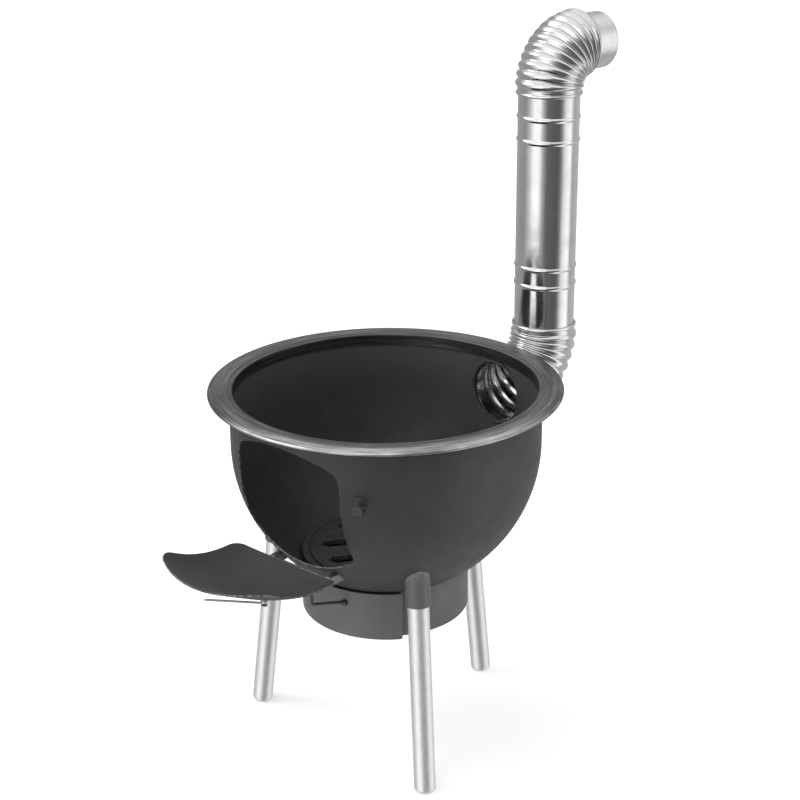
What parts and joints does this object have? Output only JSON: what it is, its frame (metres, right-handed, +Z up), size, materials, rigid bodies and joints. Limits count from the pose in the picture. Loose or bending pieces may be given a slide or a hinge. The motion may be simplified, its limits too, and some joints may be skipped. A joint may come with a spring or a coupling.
{
  "type": "bowl hearth stove",
  "caption": "Portable solid-fuel hearth bowl on splayed legs, with a hinged fuel door, an ash drawer under a loose grate, and an elbowed chimney.",
  "frame": {"origin": "centre of the rim, on the plane of the flat land that a pot rests on", "axes": "+Z up, the fuel door faces -Y, the chimney stands on the +Y side, 8.3 degrees off the +Y axis towards +X, and +X is to the right seen from the front"},
  "size_m": [0.34, 0.5386, 0.6948],
  "materials": {
    "hearth_paint": "matt high-temperature black",
    "door_paint": "matt high-temperature black",
    "drum_paint": "satin dark grey heat paint",
    "socket_paint": "satin dark grey heat paint",
    "rim_steel": "spun steel, brushed and heat-darkened",
    "hardware_steel": "bright zinc plated",
    "leg_metal": "satin anodised",
    "chimney_steel": "polished stainless sheet",
    "grate_iron": "rough as-cast",
    "dark_steel": "blackened wire and sheet"
  },
  "bodies": {
    "stove_body": {"bowl": "hearth_paint", "rim_ring": "rim_steel", "bowl_hinge_lugs": "hardware_steel", "door_hinge_pin": "hardware_steel", "latch_keeper": "dark_steel", "leg_studs": "hardware_steel", "leg_threaded_bushes": "hardware_steel", "ash_drum": "drum_paint", "ash_drum_base": "drum_paint", "drawer_runners": "dark_steel", "flue_collar": "hearth_paint", "lower_elbow": "chimney_steel", "leg_front_right": "leg_metal", "leg_socket_front_right": "socket_paint", "leg_front_left": "leg_metal", "leg_socket_front_left": "socket_paint", "leg_rear": "leg_metal", "leg_socket_rear": "socket_paint"},
    "fuel_door": {"fuel_door": "door_paint", "door_hinge_straps": "hardware_steel", "latch_washer": "hardware_steel", "latch_rivet": "dark_steel"},
    "door_latch": {"latch_lever": "hardware_steel"},
    "ash_drawer": {"ash_tray": "drum_paint", "drawer_front": "drum_paint", "drawer_handle": "dark_steel"},
    "grate": {"grate": "grate_iron"},
    "chimney": {"chimney_pipe": "chimney_steel"},
    "chimney_outlet": {"upper_elbow": "chimney_steel"}
  },
  "joints": [
    {"name": "fuel_door_hinge", "type": "hinge", "parent": "stove_body", "child": "fuel_door", "pos_m": [0, -0.123, -0.151], "axis": [1, 0, 0], "range_deg": [-63.4, 0]},
    {"name": "door_latch_turn", "type": "hinge", "parent": "fuel_door", "child": "door_latch", "pos_m": [0.04666, -0.21529, -0.13206], "axis": [0.3018, -0.4269, -0.8525], "range_deg": [-136, 0]},
    {"name": "ash_drawer_slide", "type": "slide", "parent": "stove_body", "child": "ash_drawer", "axis": [0, -1, 0], "range_m": [0, 0.11]},
    {"name": "grate_lift", "type": "slide", "parent": "stove_body", "child": "grate", "axis": [0, 0, 1], "range_m": [0, 0.2]},
    {"name": "chimney_lift", "type": "slide", "parent": "stove_body", "child": "chimney", "axis": [0, 0, 1], "range_m": [0, 0.05]},
    {"name": "chimney_outlet_swivel", "type": "hinge", "parent": "chimney", "child": "chimney_outlet", "pos_m": [0.03075, 0.21077, 0.25], "axis": [0, 0, 1], "continuous": true}
  ]
}
